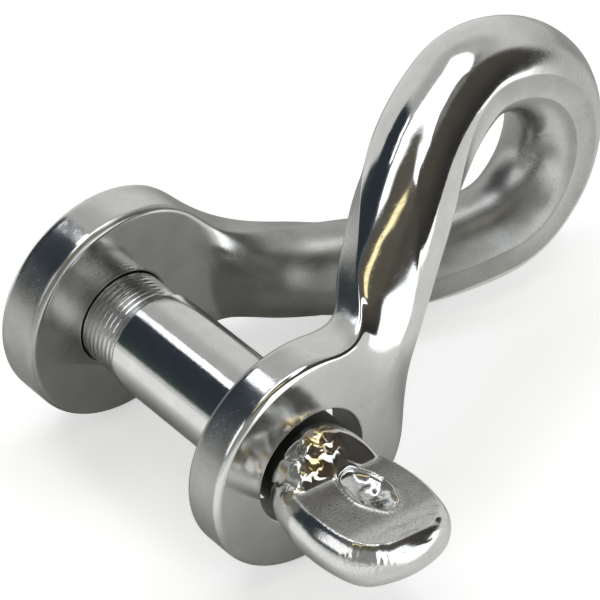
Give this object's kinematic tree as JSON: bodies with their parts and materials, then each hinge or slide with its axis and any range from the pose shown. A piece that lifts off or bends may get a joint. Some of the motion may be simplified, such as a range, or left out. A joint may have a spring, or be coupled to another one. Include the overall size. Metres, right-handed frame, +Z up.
{
  "type": "twisted shackle",
  "caption": "Small polished shackle whose bow turns a quarter between its two ears and its crown, closed by a screw pin with a flat tang.",
  "frame": {"origin": "on the pin's axis, midway between the two ears", "axes": "+X along the pin towards its head, +Y from the pin towards the crown, +Z up, square to the ground it lies on"},
  "size_m": [0.028, 0.035, 0.0179],
  "materials": {
    "polished_steel": "polished stainless steel, a little uneven",
    "pin_steel": "turned stainless steel, bright on the shank and dull on the tang"
  },
  "bodies": {
    "bow": {"shackle_bow": "polished_steel"},
    "pin": {"shackle_pin": "pin_steel"}
  },
  "joints": [
    {"name": "pin_withdraw", "type": "slide", "parent": "bow", "child": "pin", "axis": [1, 0, 0], "range_m": [0, 0.03]}
  ]
}
